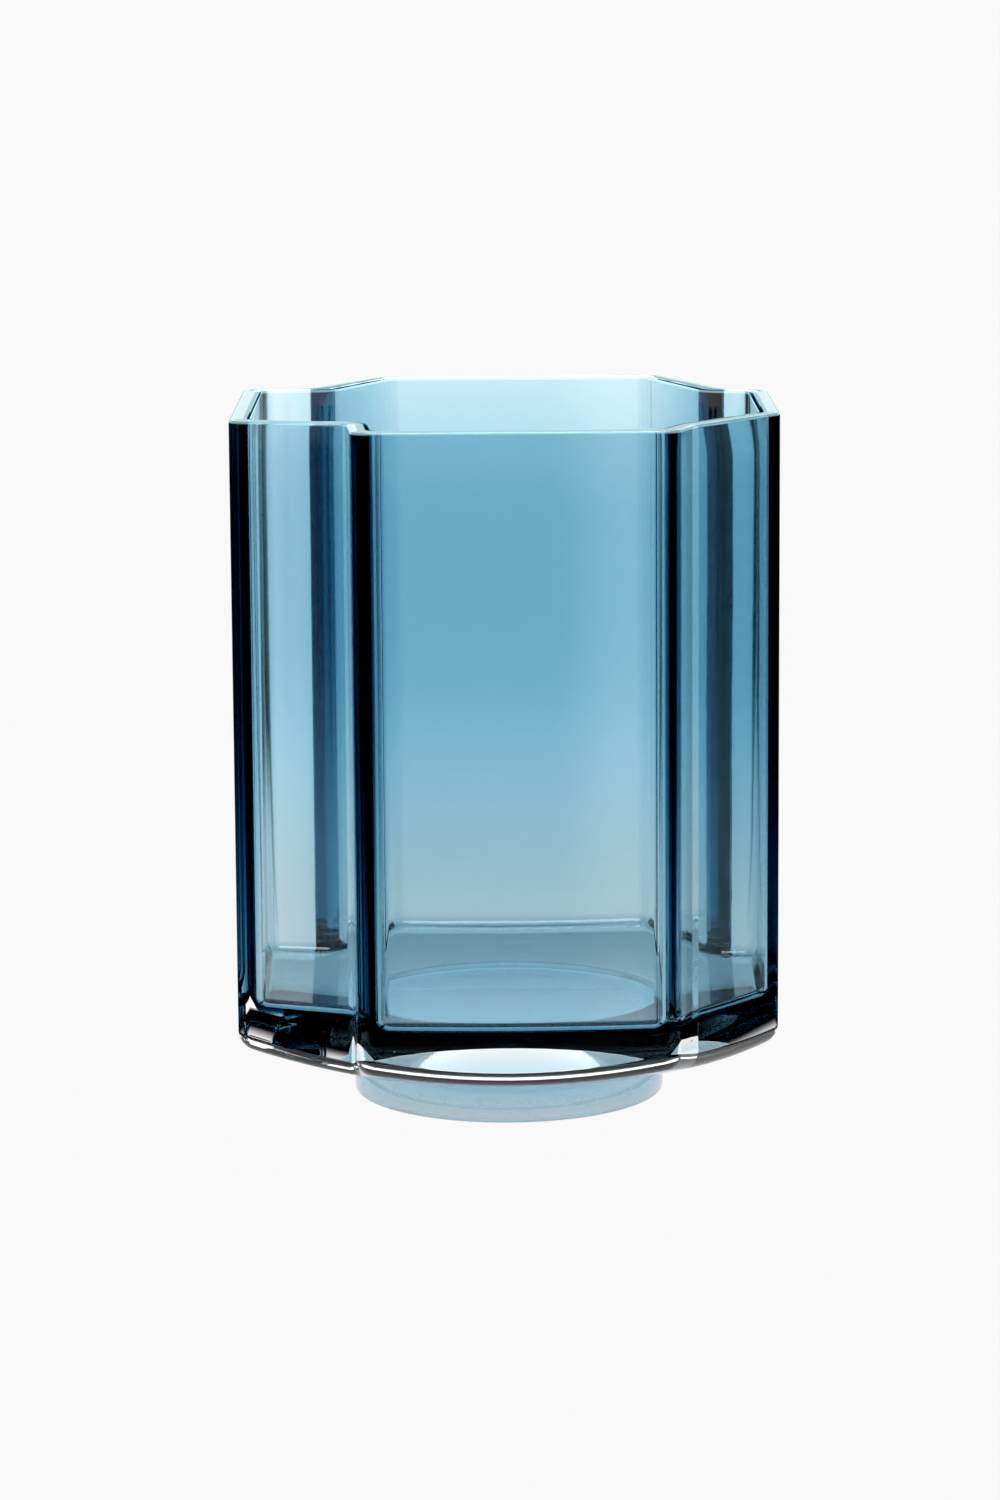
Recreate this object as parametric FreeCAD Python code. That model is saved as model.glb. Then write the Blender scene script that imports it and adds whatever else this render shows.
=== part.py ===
"""A cased glass vase: a blue inner layer in a clear outer casing, on a round clear foot.

The plan is a cross of four wide lobes with a valley between each two. The lobes and valleys differ from
each other, as this vase isn't regular. Seen from above, with the front at -Y:

    back lobe            +Y
    left lobe    right lobe      -X  +X
    front lobe           -Y

The walls stand straight up. The underside is a shallow dome, and the foot is a disc whose top fits it.
Sizes are in millimetres. The origin is the middle of the foot's resting plane, and +Z points up to the rim.
"""

import FreeCAD, Part
import math
import os

Vector = FreeCAD.Vector

# The vase as a whole
total_height = 200.0
half_width = 76.5  # middle to the end of the left and right lobes
half_depth = 78.2  # middle to the face of the front and back lobes

# Where the flat end of each lobe starts and stops, before its corners are rounded. The front and back lobes are
# measured in from the ends of the left and right ones, and the left and right lobes from the front and back faces.
front_lobe_left_in, front_lobe_right_in = 34.5, 30.5
right_lobe_front_in, right_lobe_back_in = 44.9, 47.2
back_lobe_right_in, back_lobe_left_in = 30.3, 39.7
left_lobe_back_in, left_lobe_front_in = 34.5, 32.2

# The deepest point of each valley, before it is rounded: how far in from the end of the side lobe, and how far
# in from the face of the front or back lobe
front_left_valley_in = (32.8, 23.0)
front_right_valley_in = (24.2, 14.4)
back_right_valley_in = (12.1, 43.1)
back_left_valley_in = (19.6, 32.8)

# The glass is thicker inside the two back valleys: how much further in from the side and from the back lobe the
# cavity's wall is there
back_left_valley_swell = (3.2, 2.0)
back_right_valley_swell = (2.4, 1.0)

# The two layers of the wall
casing_thickness = 3.9
lining_thickness = 1.8

# The heavy base. Both heights are at the lowest point, on the axis, above the resting plane.
dome_lowest = 6.5  # the underside
floor_lowest = 31.5  # the cavity's floor
lining_thickness_under_floor = 1.6
dome_radius = 241.0  # of the ball that shapes the underside
floor_radius = 1500.0  # of the ball that shapes the nearly flat floor

# Roundings
outer_corner_radius = 5.0
outer_valley_radius = 2.0
layer_corner_radius = 4.6
cavity_corner_radius = 4.0
lower_edge_radius = 4.0
layer_floor_edge_radius = 3.8
cavity_floor_edge_radius = 3.3
rim_edge_radius = 0.8

# The foot
foot_diameter = 89.6
foot_edge_radius = 1.6
resting_ring_width = 7.0
hollow_depth = 1.2  # of the shallow ground hollow inside the resting ring


def plan_point(side, face, depths):
    """A point of the plan, measured in from the overall ends. side is -1 left or 1 right, face -1 front or 1 back."""
    return (side * (half_width - depths[0]), face * (half_depth - depths[1]))


def plan_corners():
    """The sharp corners of the outline, anticlockwise from the front lobe's left one."""
    return [
        plan_point(-1, -1, (front_lobe_left_in, 0)),
        plan_point(1, -1, (front_lobe_right_in, 0)),
        plan_point(1, -1, front_right_valley_in),
        plan_point(1, -1, (0, right_lobe_front_in)),
        plan_point(1, 1, (0, right_lobe_back_in)),
        plan_point(1, 1, back_right_valley_in),
        plan_point(1, 1, (back_lobe_right_in, 0)),
        plan_point(-1, 1, (back_lobe_left_in, 0)),
        plan_point(-1, 1, back_left_valley_in),
        plan_point(-1, 1, (0, left_lobe_back_in)),
        plan_point(-1, -1, (0, left_lobe_front_in)),
        plan_point(-1, -1, front_left_valley_in),
    ]


def inset_corners(inset):
    """The sharp corners of an outline that lies that far inside the outer one, and further in the back valleys."""
    corners = [Vector(x, y, 0) for x, y in plan_corners()]
    moved = []
    for i, corner in enumerate(corners):
        before = (corner - corners[i - 1]).normalize()
        after = (corners[(i + 1) % len(corners)] - corner).normalize()
        inward = Vector(-before.y, before.x, 0) + Vector(-after.y, after.x, 0)
        moved.append(corner + inward * (inset / (1 + before.dot(after))))
    share = inset / (casing_thickness + lining_thickness)
    for i, side, swell in ((5, 1, back_right_valley_swell), (8, -1, back_left_valley_swell)):
        moved[i] -= Vector(side * swell[0], swell[1], 0) * share
    return moved


def outline(z, inset, corner_radius, valley_radius):
    """A closed wire at height z with tangent arcs at the lobes' corners and in the valleys."""
    corners = inset_corners(inset)
    arcs = []
    for i, corner in enumerate(corners):
        before = (corner - corners[i - 1]).normalize()
        after = (corners[(i + 1) % len(corners)] - corner).normalize()
        turn = before.x * after.y - before.y * after.x
        radius = corner_radius if turn > 0 else valley_radius
        half_turn = math.acos(before.dot(after)) / 2
        reach = radius * math.tan(half_turn)
        inward = (after - before).normalize()
        middle = corner + inward * (radius / math.cos(half_turn) - radius)
        start, end = corner - before * reach, corner + after * reach
        lift = Vector(0, 0, z)
        arcs.append((start + lift, middle + lift, end + lift))
    edges = []
    for i, (start, middle, end) in enumerate(arcs):
        edges.append(Part.Arc(start, middle, end).toShape())
        edges.append(Part.LineSegment(end, arcs[(i + 1) % len(arcs)][0]).toShape())
    return Part.Wire(edges)


def ball(radius, lowest):
    """A ball with its lowest point on the axis at that height."""
    return Part.makeSphere(radius, Vector(0, 0, lowest + radius))


def standing_block(inset, corner_radius, valley_radius, ball_radius, lowest, edge_radius):
    """A block with straight walls up to the rim, a domed bottom, and a rounded edge between the two."""
    wire = outline(0, inset, corner_radius, valley_radius)
    block = Part.Face(wire).extrude(Vector(0, 0, total_height)).common(ball(ball_radius, lowest)).Solids[0]
    bottom = [f for f in block.Faces if isinstance(f.Surface, Part.Sphere)][0]
    return block.makeFillet(edge_radius, bottom.Edges).Solids[0]


def layer_form():
    """The block inside the surface where the casing meets the lining."""
    return standing_block(
        casing_thickness, layer_corner_radius, outer_valley_radius + casing_thickness,
        floor_radius, floor_lowest - lining_thickness_under_floor, layer_floor_edge_radius,
    )


def round_top_edge(solid, pick):
    """Rounds one loop round the flat top: the outermost if pick is max, the innermost if it is min."""
    top = max(solid.Faces, key=lambda f: f.CenterOfMass.z)
    loop = pick(top.Wires, key=lambda w: w.BoundBox.DiagonalLength)
    return solid.makeFillet(rim_edge_radius, loop.Edges).Solids[0]


def make_clear_casing():
    """The thick outer layer of clear glass, with the heavy base."""
    outer = standing_block(
        0, outer_corner_radius, outer_valley_radius, dome_radius, dome_lowest, lower_edge_radius
    )
    return round_top_edge(outer.cut(layer_form()).Solids[0], max)


def make_blue_lining():
    """The thin inner layer of blue glass. It covers the cavity's walls and floor."""
    cavity = standing_block(
        casing_thickness + lining_thickness, cavity_corner_radius,
        outer_valley_radius + casing_thickness + lining_thickness,
        floor_radius, floor_lowest, cavity_floor_edge_radius,
    )
    return round_top_edge(layer_form().cut(cavity).Solids[0], min)


def make_foot():
    """The round foot: a disc whose top fits the dome, with a shallow ground hollow in its underside."""
    radius = foot_diameter / 2
    disc = Part.makeCylinder(radius, floor_lowest)
    resting_edge = [e for e in disc.Edges if e.BoundBox.ZMax < foot_edge_radius]
    disc = disc.makeFillet(foot_edge_radius, resting_edge).cut(ball(dome_radius, dome_lowest))
    hollow_radius = radius - resting_ring_width
    ball_radius = (hollow_radius**2 + hollow_depth**2) / (2 * hollow_depth)
    return disc.cut(ball(ball_radius, hollow_depth - 2 * ball_radius)).Solids[0]


def main():
    os.makedirs("parts", exist_ok=True)
    nodes = {
        "clear_casing": make_clear_casing(),
        "blue_lining": make_blue_lining(),
        "foot": make_foot(),
    }
    for name, shape in nodes.items():
        box = shape.BoundBox
        print(
            f"{name}: {len(shape.Solids)} solid, {shape.Volume / 1000:.1f} cm3, valid {shape.isValid()}, "
            f"X {box.XMin:.2f}..{box.XMax:.2f}, Y {box.YMin:.2f}..{box.YMax:.2f}, Z {box.ZMin:.2f}..{box.ZMax:.2f}"
        )
        shape.exportStep(f"parts/{name}.step")


main()
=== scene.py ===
import math

import bmesh
import bpy
from mathutils import Matrix, Vector


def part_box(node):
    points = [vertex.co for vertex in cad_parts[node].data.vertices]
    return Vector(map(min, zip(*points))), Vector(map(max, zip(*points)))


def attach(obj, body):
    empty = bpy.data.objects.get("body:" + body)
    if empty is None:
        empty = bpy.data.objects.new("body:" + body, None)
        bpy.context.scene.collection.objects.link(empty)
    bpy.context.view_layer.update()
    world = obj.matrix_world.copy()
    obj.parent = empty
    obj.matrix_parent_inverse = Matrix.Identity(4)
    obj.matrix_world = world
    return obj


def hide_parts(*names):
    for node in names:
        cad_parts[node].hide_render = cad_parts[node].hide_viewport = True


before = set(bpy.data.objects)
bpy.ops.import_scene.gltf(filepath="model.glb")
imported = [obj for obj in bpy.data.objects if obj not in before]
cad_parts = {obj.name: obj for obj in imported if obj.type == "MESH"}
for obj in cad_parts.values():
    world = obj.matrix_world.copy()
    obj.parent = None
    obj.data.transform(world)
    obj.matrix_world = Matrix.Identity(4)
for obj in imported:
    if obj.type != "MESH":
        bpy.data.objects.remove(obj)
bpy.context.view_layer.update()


# ---- Clear casing -----------------------------------------------------------------------------------
# The outer layer of the wall and the heavy base, in one mass of clear glass. It was blown into a mould
# with four wide lobes, which left large plain faces, round corners and a domed underside. The rim is
# fire-polished. The foot is melted onto the dome, and the blue layer onto the inside of the wall.

MM = 0.001
HALF_WIDTH, HALF_DEPTH, RIM_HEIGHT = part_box("clear_casing")[1]
CASING_THICKNESS = 3.9 * MM
LINING_THICKNESS = 1.8 * MM
DOME_RADIUS = 241 * MM
DOME_LOWEST = 6.5 * MM
FLOOR_RADIUS = 1500 * MM
FLOOR_LOWEST = 31.5 * MM
CONTACT_LOWEST = 29.9 * MM
OUTER_RADII = (5.0 * MM, 2.0 * MM)
CONTACT_RADII = (4.6 * MM, 5.9 * MM)
LOWER_EDGE_RADIUS = 4.0 * MM
CONTACT_EDGE_RADIUS = 3.8 * MM
RIM_EDGE_RADIUS = 0.8 * MM
FOOT_RADIUS = 44.8 * MM
FOOT_TOP_LIMIT = 15 * MM
ROUND_SEGMENTS = 14
GRID_STEP = 7 * MM
RIM_SURFACE = RIM_HEIGHT - 0.001 * MM
GLASS_IOR = 1.51
# The colour of the painted glow on the rim, an emission that stands in for light the wall carries up.
PAINTED_RIM_GLOW = (0.20, 0.38, 0.42)


def lobed_face(bm, inset, corner_radius, valley_radius):
    """A flat face at z = 0 with the vase's outline, its sides moved inwards and its corners rounded. Each
    point is given by its side, -1 left or 1 right, by -1 front or 1 back, and by how far in it is from the
    two ends. The glass is thicker inside the two back valleys, so their points move further in."""
    points = [
        (-1, -1, 34.5, 0), (1, -1, 30.5, 0), (1, -1, 24.2, 14.4), (1, -1, 0, 44.9),
        (1, 1, 0, 47.2), (1, 1, 12.1, 43.1), (1, 1, 30.3, 0), (-1, 1, 39.7, 0),
        (-1, 1, 19.6, 32.8), (-1, 1, 0, 34.5), (-1, -1, 0, 32.2), (-1, -1, 32.8, 23.0),
    ]
    sharp = [
        (side * (HALF_WIDTH - in_x * MM), end * (HALF_DEPTH - in_y * MM), 0)
        for side, end, in_x, in_y in points
    ]
    face = bm.faces.new([bm.verts.new(point) for point in sharp])
    face.normal_update()
    if inset:
        border = bmesh.ops.inset_region(
            bm, faces=[face], thickness=inset, use_even_offset=True, use_boundary=True
        )["faces"]
        bmesh.ops.delete(bm, geom=border, context="FACES")
    share = inset / (CASING_THICKNESS + LINING_THICKNESS)
    back_right_valley, back_left_valley = [face.loops[i].vert for i in (5, 8)]
    back_right_valley.co += Vector((-2.4, -1.0, 0)) * share * MM
    back_left_valley.co += Vector((3.2, -2.0, 0)) * share * MM
    corners = []
    for loop in face.loops:
        before = loop.vert.co - loop.link_loop_prev.vert.co
        after = loop.link_loop_next.vert.co - loop.vert.co
        radius = corner_radius if before.cross(after).z > 0 else valley_radius
        corners.append((loop.vert, radius * math.tan(before.angle(after) / 2)))
    for vert, reach in corners:
        bmesh.ops.bevel(
            bm, geom=[vert], offset=reach, offset_type="OFFSET", affect="VERTICES",
            segments=ROUND_SEGMENTS, profile=0.5, material=-1,
        )
    return bm.faces[:][0]


def ball_height(vert, radius, lowest):
    """How high a ball's surface is over a point, where the ball's lowest point is on the axis."""
    return lowest + radius - math.sqrt(radius**2 - vert.co.xy.length_squared)


def smooth_step(value, start, end):
    """Rises smoothly from 0 at the start to 1 at the end."""
    part = min(max((value - start) / (end - start), 0), 1)
    return part * part * (3 - 2 * part)


def lining_loss(point):
    """How much thinner than its full thickness the blown blue layer is at a point of the wall."""
    share = 0.34 + 0.56 * smooth_step(point.z, 38 * MM, 132 * MM)
    share -= 0.22 * smooth_step(point.z, 176 * MM, 200 * MM)
    share *= 1 - 0.34 * smooth_step(-point.x, 42 * MM, 58 * MM)
    share *= (
        1 - 0.18 * smooth_step(point.x, 12 * MM, 34 * MM) + 0.26 * smooth_step(point.x, 46 * MM, 62 * MM)
    )
    return LINING_THICKNESS * (1 - min(share, 0.99))


def cut_across(bm, axis, places):
    """Divides the faces at these places along an axis."""
    for place in places:
        geom = bm.faces[:] + bm.edges[:] + bm.verts[:]
        bmesh.ops.bisect_plane(bm, geom=geom, plane_co=Vector(axis) * place, plane_no=axis)


def add_tub(bm, inset, radii, edge_radius, ball_radius, lowest, faces_inwards=False, thinned=False):
    """Adds an open tub with straight walls and part of a ball for its bottom, with a rounded edge between.
    The radii are the lobe corners' and the valleys'. A thinned tub leans in where the blue layer is thin."""
    own = bmesh.new()
    face = lobed_face(own, inset, *radii)
    raised = bmesh.ops.extrude_face_region(own, geom=[face], use_keep_orig=True)["geom"]
    lid = [g for g in raised if isinstance(g, bmesh.types.BMFace)][0]
    bmesh.ops.translate(own, vec=(0, 0, RIM_HEIGHT), verts=lid.verts)
    bmesh.ops.delete(own, geom=[lid], context="FACES_ONLY")
    bmesh.ops.bevel(
        own, geom=list(face.edges), offset=edge_radius, offset_type="OFFSET", affect="EDGES",
        segments=8, profile=0.5, material=-1, clamp_overlap=False,
    )
    for axis in ((1, 0, 0), (0, 1, 0)):
        cut_across(own, axis, [i * GRID_STEP for i in range(-10, 11)])
    for vert in own.verts:
        if vert.co.z < RIM_HEIGHT / 2:
            vert.co.z += ball_height(vert, ball_radius, lowest)
    cut_across(own, (0, 0, 1), [RIM_HEIGHT * i / 20 for i in range(5, 20)])
    bmesh.ops.recalc_face_normals(own, faces=own.faces)
    own.normal_update()
    if thinned:
        for vert in own.verts:
            vert.co.xy -= vert.normal.xy * lining_loss(vert.co)
    if faces_inwards:
        bmesh.ops.reverse_faces(own, faces=own.faces)
    mesh = bpy.data.meshes.new("tub")
    own.to_mesh(mesh)
    own.free()
    start = len(bm.faces)
    bm.from_mesh(mesh)
    bpy.data.meshes.remove(mesh)
    bm.faces.ensure_lookup_table()
    return bm.faces[start:]


def close_rim(bm, fused, outside, inside):
    """Bridges two tubs at the top, then rounds the edge that is not melted to the other layer."""
    open_edges = {e for f in outside + inside for e in f.edges if e.is_boundary}
    bmesh.ops.bridge_loops(bm, edges=list(open_edges))
    rim = [
        e for e in bm.edges
        if all(v.co.z > RIM_SURFACE for v in e.verts)
        and all(f[fused] == 0 for f in e.link_faces)
        and any(abs(f.normal.z) < 0.5 for f in e.link_faces)
    ]
    bmesh.ops.bevel(
        bm, geom=rim, offset=RIM_EDGE_RADIUS, offset_type="OFFSET", affect="EDGES", segments=4,
        profile=0.5, material=-1,
    )


def glass_piece(name, bm, node, material):
    """Makes the finished mesh an object that stands for a CAD node."""
    bmesh.ops.recalc_face_normals(bm, faces=bm.faces)
    for face in bm.faces:
        face.smooth = True
    mesh = bpy.data.meshes.new(name)
    bm.to_mesh(mesh)
    bm.free()
    mesh.materials.append(material)
    piece = bpy.data.objects.new(name, mesh)
    bpy.context.scene.collection.objects.link(piece)
    flats = piece.modifiers.new("flat faces stay flat", "WEIGHTED_NORMAL")
    flats.mode = "FACE_AREA"
    flats.weight = 50
    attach(piece, "root")
    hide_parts(node)
    return piece


class Socket:
    """An output of a node. Arithmetic on it adds the Math nodes that work it out."""

    def __init__(self, tree, output=None):
        self.tree = tree
        self.output = output

    def node(self, kind, settings, inputs, output=0):
        """Adds a node: first its settings, then the values or links of its sockets."""
        made = self.tree.nodes.new("ShaderNode" + kind)
        for name, setting in settings.items():
            setattr(made, name, setting)
        for name, value in inputs.items():
            if isinstance(value, Socket):
                self.tree.links.new(value.output, made.inputs[name])
            else:
                made.inputs[name].default_value = value
        return Socket(self.tree, made.outputs[output] if len(made.outputs) else None)

    def math(self, operation, *values):
        return self.node("Math", {"operation": operation}, dict(enumerate(values)))

    def __add__(self, other):
        return self.math("ADD", self, other)

    def __rsub__(self, other):
        return self.math("SUBTRACT", other, self)

    def __mul__(self, other):
        return self.math("MULTIPLY", self, other)

    def __lt__(self, other):
        return self.math("LESS_THAN", self, other)

    def step(self, start, end, low=0, high=1):
        """Goes smoothly from low at the start to high at the end."""
        return self.node(
            "MapRange", {"interpolation_type": "SMOOTHSTEP"},
            {"Value": self, "From Min": start, "From Max": end, "To Min": low, "To Max": high},
        )

    def axes(self):
        """The three numbers of a vector."""
        return [self.node("SeparateXYZ", {}, {0: self}, axis) for axis in "XYZ"]


def new_tree(data):
    """An empty node tree for a material or the world."""
    data.use_nodes = True
    data.node_tree.nodes.clear()
    return Socket(data.node_tree)


def from_axis(x, y):
    """The distance from the vase's axis."""
    return (x * x + y * y).math("SQRT", x * x + y * y)


def mould_waves(tree, place):
    """The faint waves, chill ripples and seeds of glass blown into a mould, as a normal."""
    upright = tree.node("Mapping", {}, {"Vector": place, "Scale": (1, 1, 0.16)})
    waves = tree.node("TexNoise", {}, {"Vector": upright, "Scale": 55, "Detail": 1.5}, "Fac")
    ripples = tree.node("TexNoise", {}, {"Vector": place, "Scale": 170, "Detail": 1}, "Fac")
    cells = tree.node("TexVoronoi", {}, {"Vector": place, "Scale": 70, "Randomness": 1}, "Distance")
    seeds = cells.step(0.02, 0.05, 1, 0)
    height = waves + ripples * 0.1 + seeds * 0.3
    return tree.node("Bump", {}, {"Height": height, "Distance": 0.04 * MM, "Strength": 1})


def waves_and_painted_rim_glow(tree, place):
    """The waves of the wall, and a painted glow just under the rim: an emission that stands in for the pale
    light the wall carries up to the rim.
    """
    at_rim = place.axes()[2].step(RIM_HEIGHT - RIM_EDGE_RADIUS, RIM_HEIGHT - 0.5 * RIM_EDGE_RADIUS)
    painted_glow_colours = {0: at_rim, 6: (0, 0, 0, 1), 7: (*PAINTED_RIM_GLOW, 1)}
    # Painted glow: the glass emits this pale colour in a thin band just under the rim.
    painted_rim_light = tree.node("Mix", {"data_type": "RGBA"}, painted_glow_colours, 2)
    return {"Normal": mould_waves(tree, place), "Emission Color": painted_rim_light, "Emission Strength": 1}


def finish_glass(tree, look, melted, absorbs=None):
    """Glass of this look, see-through where it is melted to another piece; on the foot's underside it is
    also partly see-through as painted light. absorbs is the colour that a millimetre of it lets through."""
    always = {"Base Color": (1, 1, 1, 1), "Roughness": 0, "IOR": GLASS_IOR, "Transmission Weight": 1}
    bsdf = tree.node("BsdfPrincipled", {}, {**always, **look})
    clear = tree.node("BsdfTransparent", {}, {})
    ends = {"Surface": tree.node("MixShader", {}, {0: melted, 1: bsdf, 2: clear})}
    if absorbs:
        ends["Volume"] = tree.node("VolumeAbsorption", {}, {"Color": (*absorbs, 1), "Density": 1 / MM})
    tree.node("OutputMaterial", {}, ends)


clear_glass = bpy.data.materials.new("clear casing glass")
tree = new_tree(clear_glass)
place = tree.node("TexCoord", {}, {}, "Object")
x, y, z = place.axes()
over_foot = (from_axis(x, y) < FOOT_RADIUS) * (z < FOOT_TOP_LIMIT)
melted = tree.node("Attribute", {"attribute_name": "fused"}, {}, "Fac")
# The casing glass has the mould waves and a painted glow just under the rim.
finish_glass(tree, waves_and_painted_rim_glow(tree, place), melted.math("MAXIMUM", melted, over_foot))

bm = bmesh.new()
fused = bm.faces.layers.float.new("fused")
outside = add_tub(bm, 0, OUTER_RADII, LOWER_EDGE_RADIUS, DOME_RADIUS, DOME_LOWEST)
contact = add_tub(
    bm, CASING_THICKNESS, CONTACT_RADII, CONTACT_EDGE_RADIUS, FLOOR_RADIUS, CONTACT_LOWEST,
    faces_inwards=True, thinned=True,
)
for face in contact:
    face[fused] = 1
close_rim(bm, fused, outside, contact)
casing = glass_piece("casing_glass", bm, "clear_casing", clear_glass)


# ---- Blue lining ------------------------------------------------------------------------------------
# The thin inner layer of steel-blue glass, which gives the vase its colour. The gather was blown out with
# the clear glass over it, so this layer thins towards the floor, at the rim and along some of the faces.

BLUE_OF_A_MILLIMETRE = (0.345, 0.648, 0.752)
CAVITY_RADII = (4.0 * MM, 7.7 * MM)
CAVITY_EDGE_RADIUS = 3.3 * MM
MELT_GAP = 0.02 * MM

blue_glass = bpy.data.materials.new("blue lining glass")
tree = new_tree(blue_glass)
place = tree.node("TexCoord", {}, {}, "Object")
melted = tree.node("Attribute", {"attribute_name": "fused"}, {}, "Fac")
# The lining glass has the mould waves, a painted glow just under the rim, and its blue.
finish_glass(tree, waves_and_painted_rim_glow(tree, place), melted, BLUE_OF_A_MILLIMETRE)

bm = bmesh.new()
fused = bm.faces.layers.float.new("fused")
contact = add_tub(
    bm, CASING_THICKNESS + MELT_GAP, CONTACT_RADII, CONTACT_EDGE_RADIUS, FLOOR_RADIUS,
    CONTACT_LOWEST + MELT_GAP, thinned=True,
)
for face in contact:
    face[fused] = 1
cavity = add_tub(
    bm, CASING_THICKNESS + LINING_THICKNESS, CAVITY_RADII, CAVITY_EDGE_RADIUS, FLOOR_RADIUS, FLOOR_LOWEST,
    faces_inwards=True,
)
close_rim(bm, fused, contact, cavity)
lining = glass_piece("lining_glass", bm, "blue_lining", blue_glass)


# ---- Foot -------------------------------------------------------------------------------------------
# A round disc of clear glass, pressed hot onto the dome. It rests on a narrow ring, with a shallow ground
# hollow inside it. The ring is scuffed from standing on tables.

FOOT_EDGE_RADIUS = 1.6 * MM
HOLLOW_RADIUS = FOOT_RADIUS - 7.0 * MM
HOLLOW_DEPTH = 1.2 * MM
FOOT_SEGMENTS = 160
FOOT_TINT_OF_A_MILLIMETRE = (0.976, 0.992, 0.9975)

def add_rings(bm, face, scales):
    """Divides a flat face round the axis into rings of its own shape. The last scale is the middle's."""
    now = 1
    for scale in scales:
        bmesh.ops.inset_individual(bm, faces=[face], thickness=0)
        bmesh.ops.scale(bm, vec=(scale / now, scale / now, 1), verts=face.verts)
        now = scale


foot_glass = bpy.data.materials.new("clear foot glass")
tree = new_tree(foot_glass)
place = tree.node("TexCoord", {}, {}, "Object")
x, y, z = place.axes()
scuffs = tree.node("TexNoise", {}, {"Vector": place, "Scale": 900, "Detail": 4}, "Fac")
ground = from_axis(x, y).step(HOLLOW_RADIUS - MM, HOLLOW_RADIUS, 0.60, 0.25) + scuffs * 0.12
under = z.step(HOLLOW_DEPTH, HOLLOW_DEPTH + 0.3 * MM, 1, 0)
# Painted light: the foot's underside is made partly see-through, more on the ring than in the hollow, so the
# foot looks brighter, standing in for the light the real ground ring catches from the table.
clear = from_axis(x, y).step(HOLLOW_RADIUS - MM, HOLLOW_RADIUS, 0.24, 0.46) * under
melted = tree.node("Attribute", {"attribute_name": "fused"}, {}, "Fac")
melted = melted.math("MAXIMUM", melted, clear)
look = {"Roughness": ground * under, "Normal": mould_waves(tree, place)}
finish_glass(tree, look, melted, FOOT_TINT_OF_A_MILLIMETRE)

bm = bmesh.new()
fused = bm.faces.layers.float.new("fused")
bmesh.ops.create_circle(bm, cap_ends=True, radius=FOOT_RADIUS, segments=FOOT_SEGMENTS)
underside = bm.faces[:][0]
raised = bmesh.ops.extrude_face_region(bm, geom=[underside], use_keep_orig=True)["geom"]
top = [g for g in raised if isinstance(g, bmesh.types.BMFace)][0]
bmesh.ops.translate(bm, vec=(0, 0, DOME_LOWEST), verts=top.verts)
bmesh.ops.bevel(
    bm, geom=list(underside.edges), offset=FOOT_EDGE_RADIUS, offset_type="OFFSET", affect="EDGES",
    segments=6, profile=0.5, material=-1,
)
discs = [f for f in bm.faces if len(f.verts) == FOOT_SEGMENTS]
underside, top = sorted(discs, key=lambda f: f.calc_center_median().z)
hollow_share = HOLLOW_RADIUS / (FOOT_RADIUS - FOOT_EDGE_RADIUS)
shares = [1, 0.98] + [1 - 0.1 * i for i in range(1, 10)]
add_rings(bm, underside, [hollow_share * share for share in shares])
add_rings(bm, top, [1 - 0.08 * i for i in range(1, 12)])
for vert in bm.verts:
    radius = vert.co.xy.length
    if vert.co.z > DOME_LOWEST - MELT_GAP:
        vert.co.z = ball_height(vert, DOME_RADIUS, DOME_LOWEST) - MELT_GAP
    elif radius < HOLLOW_RADIUS:
        vert.co.z = HOLLOW_DEPTH * (1 - (radius / HOLLOW_RADIUS) ** 2)
for face in bm.faces:
    if face.calc_center_median().z > DOME_LOWEST - 0.2 * MM and abs(face.normal.z) > 0.5:
        face[fused] = 1
foot = glass_piece("foot_glass", bm, "foot", foot_glass)


# ---- Table and light --------------------------------------------------------------------------------
# The vase stands on a plain pale table. Glass only shows what lies behind it, so soft white panels stand
# all round, with dark gaps between them that draw the edges, and a lamp above draws the rounded ones.
# They light the glass and are not seen.

WHITE = 0.947
TENT_RADIUS = 1.5
TENT_HEIGHT = 0.55
TABLE_RADIUS = 30
SHINE_RADIUS = 0.13
LAMP_RADIUS = 0.5
LAMP_HEIGHT = 1.6
EVERY_RAY = {"camera", "diffuse", "glossy", "transmission", "shadow"}


def stage_disc(name, radius, height, wall=0):
    """A flat disc round the vase's axis, with a wall round it if it is given a height."""
    bm = bmesh.new()
    bmesh.ops.create_circle(bm, cap_ends=True, radius=radius, segments=96)
    if wall:
        rise = bmesh.ops.extrude_edge_only(bm, edges=bm.edges[:])["geom"]
        top = [g for g in rise if isinstance(g, bmesh.types.BMVert)]
        bmesh.ops.translate(bm, vec=(0, 0, wall), verts=top)
    bmesh.ops.translate(bm, vec=(0, 0, height), verts=bm.verts)
    mesh = bpy.data.meshes.new(name)
    bm.to_mesh(mesh)
    bm.free()
    stage = bpy.data.objects.new(name, mesh)
    bpy.context.scene.collection.objects.link(stage)
    return stage


def glow(name, stage, strength):
    """Gives a stage piece a light of its own. The strength is a function of the material's tree."""
    material = bpy.data.materials.new(name)
    tree = new_tree(material)
    tree.node("OutputMaterial", {}, {"Surface": tree.node("Emission", {}, {"Strength": strength(tree)})})
    stage.data.materials.append(material)


def shown_to(stage, rays):
    """Hides a stage piece from every ray but these."""
    for ray in EVERY_RAY - rays:
        setattr(stage, "visible_" + ray, False)


table = stage_disc("table", TABLE_RADIUS, -0.8 * MM)
pale = bpy.data.materials.new("pale table")
tree = new_tree(pale)
paper = {
    "Base Color": (0.01, 0.01, 0.01, 1), "Roughness": 0.9, "Specular IOR Level": 0,
    "Emission Color": (1, 1, 1, 1), "Emission Strength": 0.942,
}
tree.node("OutputMaterial", {}, {"Surface": tree.node("BsdfPrincipled", {}, paper)})
table.data.materials.append(pale)
shown_to(table, {"camera", "diffuse", "shadow"})


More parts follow.
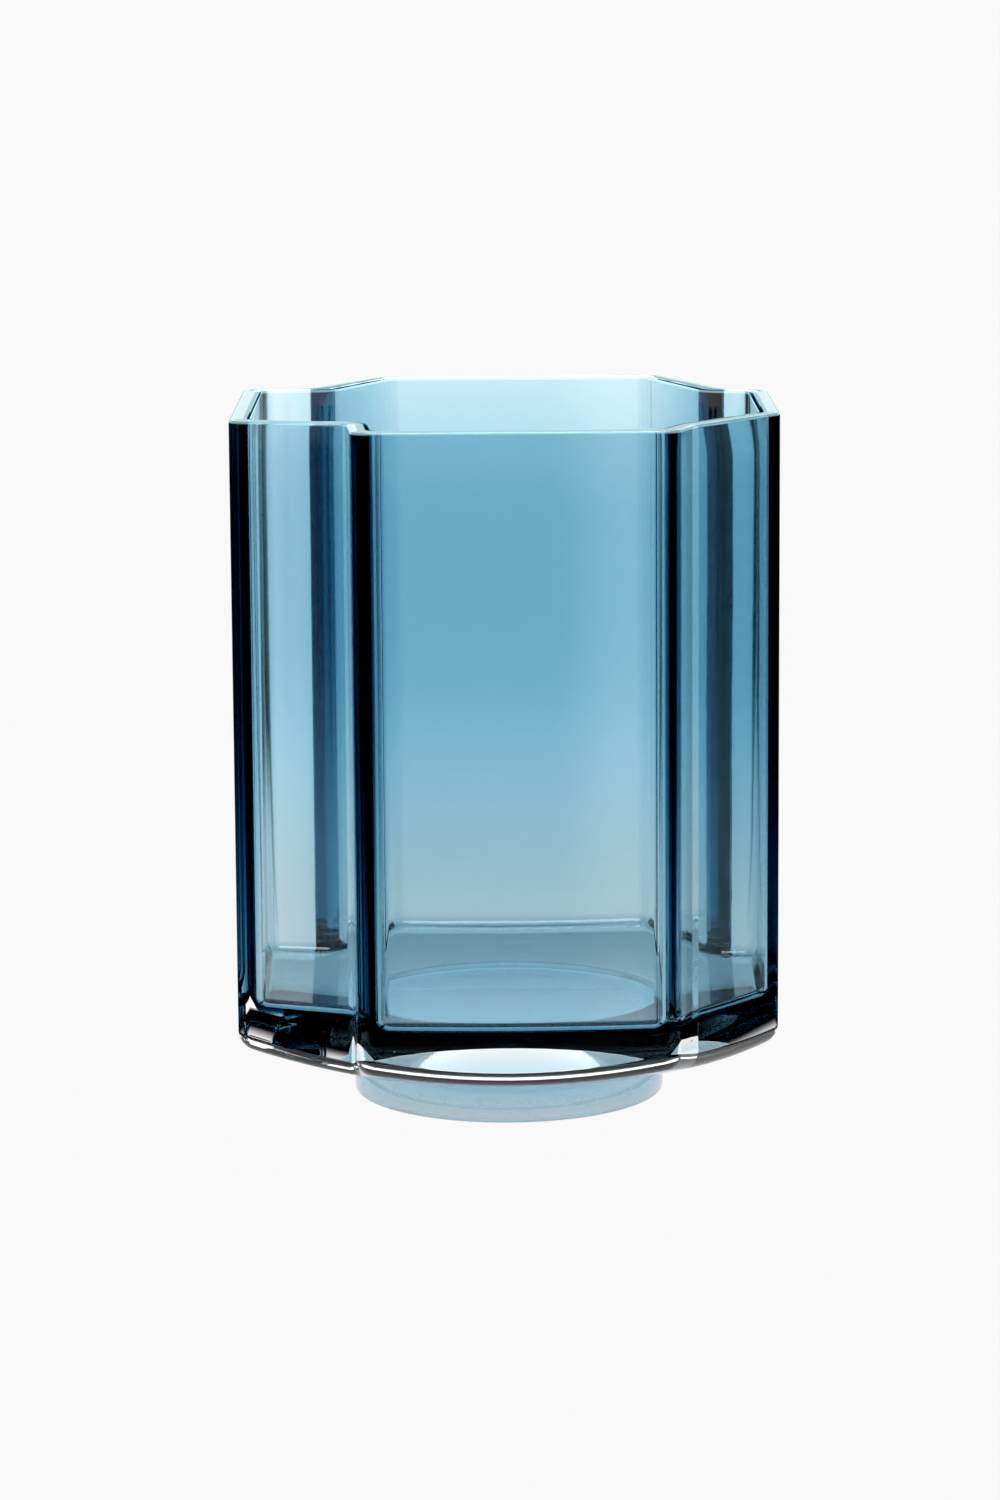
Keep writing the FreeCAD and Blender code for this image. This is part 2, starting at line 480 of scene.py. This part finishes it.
def tent_light(tree):
    """Bright strips in eight directions, wider in four of them, dimmer near the vase and up the walls."""
    x, y, z = tree.node("TexCoord", {}, {}, "Object").axes()
    away = from_axis(x, y)
    turn = x.math("ARCTAN2", x, y)
    eighth = turn.math("PINGPONG", turn, math.pi / 8)
    quarter = turn.math("PINGPONG", turn, math.pi / 4)
    aside = away * eighth.math("SINE", eighth) + away * -0.06
    strips = aside.step(0.06, 0.15, 1, 0)
    wedges = quarter.step(math.radians(20), math.radians(30), 1, 0)
    near = away.step(0.10, 0.16, 1, 0)
    lit = strips.math("MAXIMUM", strips.math("MAXIMUM", strips, wedges), near)
    under = away.step(0.045, 0.07, 1.45, 1)
    return lit * under * away.step(0.22, 0.65, 0.93, 1.31) * z.step(0.25, TENT_HEIGHT, 1, 0)


tent = stage_disc("tent", TENT_RADIUS, -0.4 * MM, wall=TENT_HEIGHT)
glow("tent light", tent, tent_light)
shown_to(tent, {"transmission"})

patch = stage_disc("table_shine", SHINE_RADIUS, -0.6 * MM)
glow("table shine", patch, lambda tree: 0.9)
shown_to(patch, {"glossy"})

lamp = stage_disc("lamp", LAMP_RADIUS, LAMP_HEIGHT)
glow("lamp light", lamp, lambda tree: 8)
shown_to(lamp, {"glossy"})

world = bpy.data.worlds.new("studio")
bpy.context.scene.world = world
tree = new_tree(world)
height = tree.node("TexCoord", {}, {}, "Generated").axes()[2]
low = height.step(0.30, 0.50, 1, 0) * height.step(-0.02, 0.05, 0, 1)
seen = tree.node("LightPath", {}, {}, "Is Camera Ray")
around = tree.node("Mix", {"data_type": "FLOAT"}, {0: seen, 2: low, 3: WHITE})
back = tree.node("Background", {}, {"Color": (1, 1, 1, 1), "Strength": around})
tree.node("OutputWorld", {}, {"Surface": back})


# ---- Camera -----------------------------------------------------------------------------------------
# It looks down on the vase by about ten degrees, from a little to the left of its middle.

camera_data = bpy.data.cameras.new("camera")
camera_data.sensor_width = 36
camera_data.lens = 115.69
camera = bpy.data.objects.new("camera", camera_data)
bpy.context.scene.collection.objects.link(camera)
camera.matrix_world = (
    Matrix.Translation((-0.0056, -1.3691, 0.3404))
    @ Matrix.Rotation(math.radians(-0.15), 4, "Z")
    @ Matrix.Rotation(math.radians(90 - 9.98), 4, "X")
    @ Matrix.Rotation(math.radians(-0.38), 4, "Z")
)

scene = bpy.context.scene
scene.camera = camera
scene.view_settings.view_transform = "Standard"
scene.cycles.max_bounces = 64
scene.cycles.transmission_bounces = 64
scene.cycles.transparent_max_bounces = 64
scene.cycles.glossy_bounces = 32
scene.cycles.use_denoising = True
